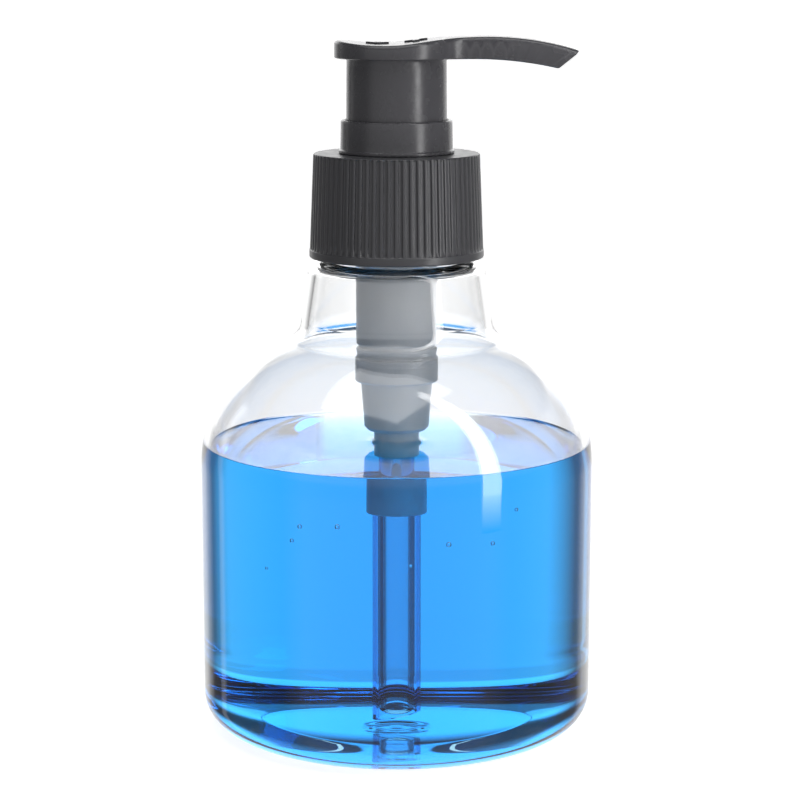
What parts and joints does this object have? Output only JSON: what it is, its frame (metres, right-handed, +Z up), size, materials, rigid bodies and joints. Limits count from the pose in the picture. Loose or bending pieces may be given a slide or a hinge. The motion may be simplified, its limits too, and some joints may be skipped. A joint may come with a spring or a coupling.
{
  "type": "soap pump dispenser",
  "caption": "Clear round bottle of blue soap with a black ribbed screw closure and a left-right lock lotion pump that draws through a dip tube.",
  "frame": {"origin": "middle of the bottle's base, on the surface it stands on", "axes": "+Z up along the bottle's axis, +X along the spout in its open position"},
  "size_m": [0.073, 0.073, 0.1286],
  "materials": {
    "clear_pet": "clear gloss plastic",
    "blue_soap": "clear blue liquid",
    "black_pp_satin": "satin moulded polypropylene",
    "black_pp_gloss": "smooth moulded polypropylene",
    "natural_pp": "milky translucent polypropylene",
    "tube_pp": "clear extruded polypropylene",
    "soft_ldpe": "soft waxy polyethylene",
    "gasket_foam": "closed-cell foam",
    "steel": "drawn stainless wire"
  },
  "bodies": {
    "bottle": {"bottle": "clear_pet", "liquid_soap": "blue_soap"},
    "pump": {"chaplet": "black_pp_gloss", "neck_gasket": "gasket_foam", "housing": "natural_pp", "stem_seal": "soft_ldpe", "dip_tube": "tube_pp", "ball_cage": "natural_pp", "return_spring": "steel"},
    "closure": {"closure": "black_pp_satin"},
    "plunger": {"stem": "natural_pp", "poppet": "natural_pp"},
    "head": {"head": "black_pp_gloss"},
    "piston": {"piston": "soft_ldpe"},
    "inlet_ball": {"inlet_ball": "steel"}
  },
  "joints": [
    {"name": "pump_lift", "type": "slide", "parent": "bottle", "child": "pump", "axis": [0, 0, 1], "range_m": [0, 0.00636]},
    {"name": "closure_turn", "type": "hinge", "parent": "pump", "child": "closure", "pos_m": [0, 0, 0.1], "axis": [0, 0, 1], "range_deg": [0, 540]},
    {"name": "head_press", "type": "slide", "parent": "pump", "child": "plunger", "axis": [0, 0, -1], "range_m": [0, 0.011], "stiffness_N_per_m": 600, "springref_m": -0.008, "deforming": ["return_spring"]},
    {"name": "head_turn", "type": "hinge", "parent": "plunger", "child": "head", "pos_m": [0, 0, 0.118], "axis": [0, 0, -1], "range_deg": [0, 90]},
    {"name": "piston_float", "type": "slide", "parent": "plunger", "child": "piston", "axis": [0, 0, 1], "range_m": [0, 0.0012]},
    {"name": "ball_lift", "type": "slide", "parent": "pump", "child": "inlet_ball", "axis": [0, 0, 1], "range_m": [0, 0.0015]}
  ],
  "couplings": [
    {"joint": "pump_lift", "follows": "closure_turn", "m_per_rad": 0.0006737}
  ]
}
